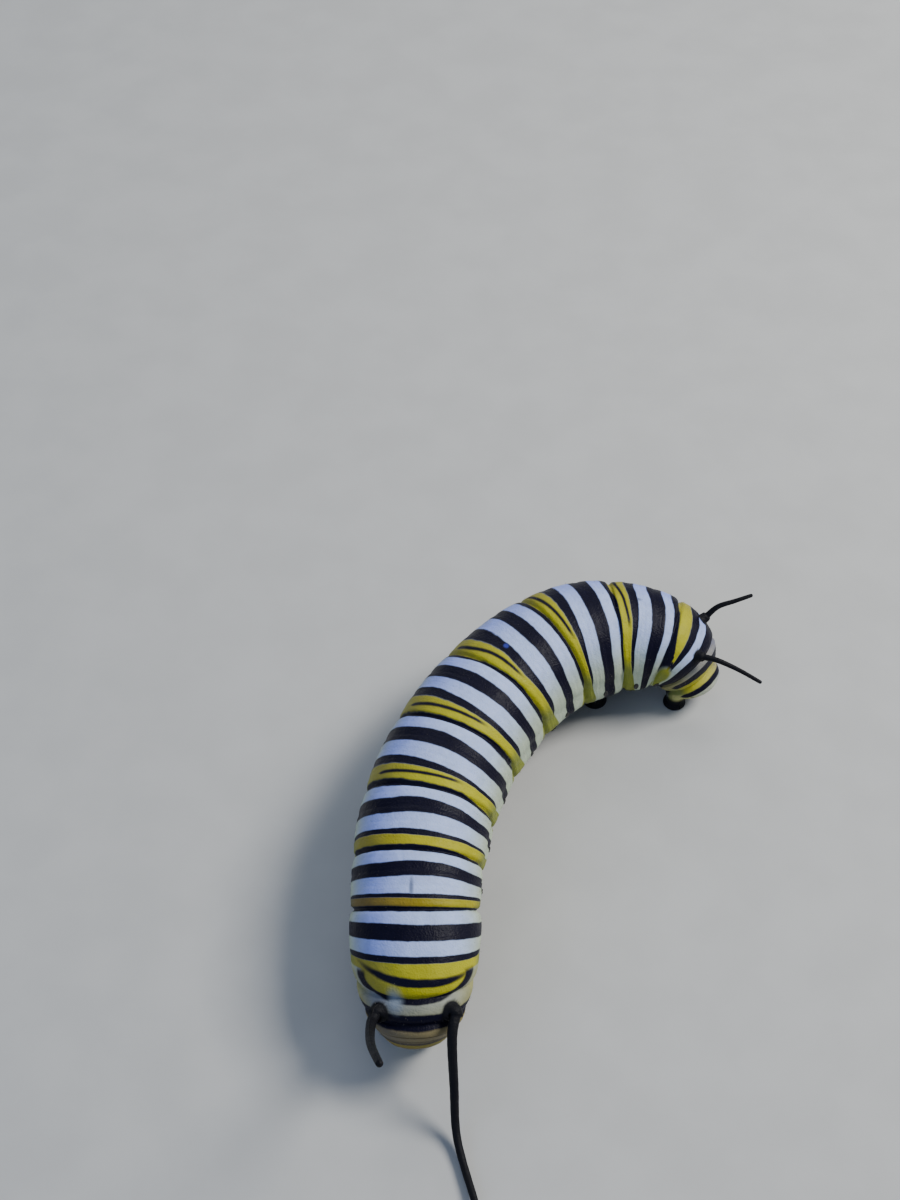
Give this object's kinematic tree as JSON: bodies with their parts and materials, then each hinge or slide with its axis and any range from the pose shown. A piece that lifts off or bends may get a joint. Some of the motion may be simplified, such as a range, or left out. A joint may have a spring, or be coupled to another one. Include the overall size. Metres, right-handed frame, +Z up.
{
  "type": "monarch butterfly larva",
  "caption": "Life-size still model of a striped monarch butterfly larva with a curved body, tucked head, fleshy tentacles, jointed thorax legs and soft prolegs.",
  "frame": {"origin": "on the floor, under the middle of the whole model's box", "axes": "+Z up from the floor, +Y from the head end towards the tail along the longest side of the box, +X to the side that the tail bends to"},
  "size_m": [0.024, 0.0376, 0.0112],
  "materials": {
    "skin": "satin, ringed in black, white and yellow",
    "proleg": "satin",
    "leg": "semi-gloss",
    "tentacle": "satin",
    "head": "semi-gloss, banded in yellow",
    "mouth": "semi-gloss",
    "antenna": "satin"
  },
  "bodies": {
    "root": {"thorax_1": "skin", "thorax_2": "skin", "thorax_3": "skin", "abdomen_1": "skin", "abdomen_2": "skin", "abdomen_3": "skin", "abdomen_4": "skin", "abdomen_5": "skin", "abdomen_6": "skin", "abdomen_7": "skin", "abdomen_8": "skin", "abdomen_9": "skin", "abdomen_10": "skin", "proleg_3_left": "proleg", "proleg_3_right": "proleg", "proleg_4_left": "proleg", "proleg_4_right": "proleg", "proleg_5_left": "proleg", "proleg_5_right": "proleg", "proleg_6_left": "proleg", "proleg_6_right": "proleg", "anal_proleg_left": "proleg", "anal_proleg_right": "proleg", "leg_1_left": "leg", "leg_1_right": "leg", "leg_2_left": "leg", "leg_2_right": "leg", "leg_3_left": "leg", "leg_3_right": "leg", "tentacle_front_left_1": "tentacle", "tentacle_front_left_2": "tentacle", "tentacle_front_right_1": "tentacle", "tentacle_front_right_2": "tentacle", "tentacle_rear_left": "tentacle", "tentacle_rear_right": "tentacle", "head": "head", "labrum": "mouth", "mandible_left": "mouth", "mandible_right": "mouth", "labium": "mouth", "antenna_left": "antenna", "antenna_right": "antenna"}
  },
  "joints": []
}
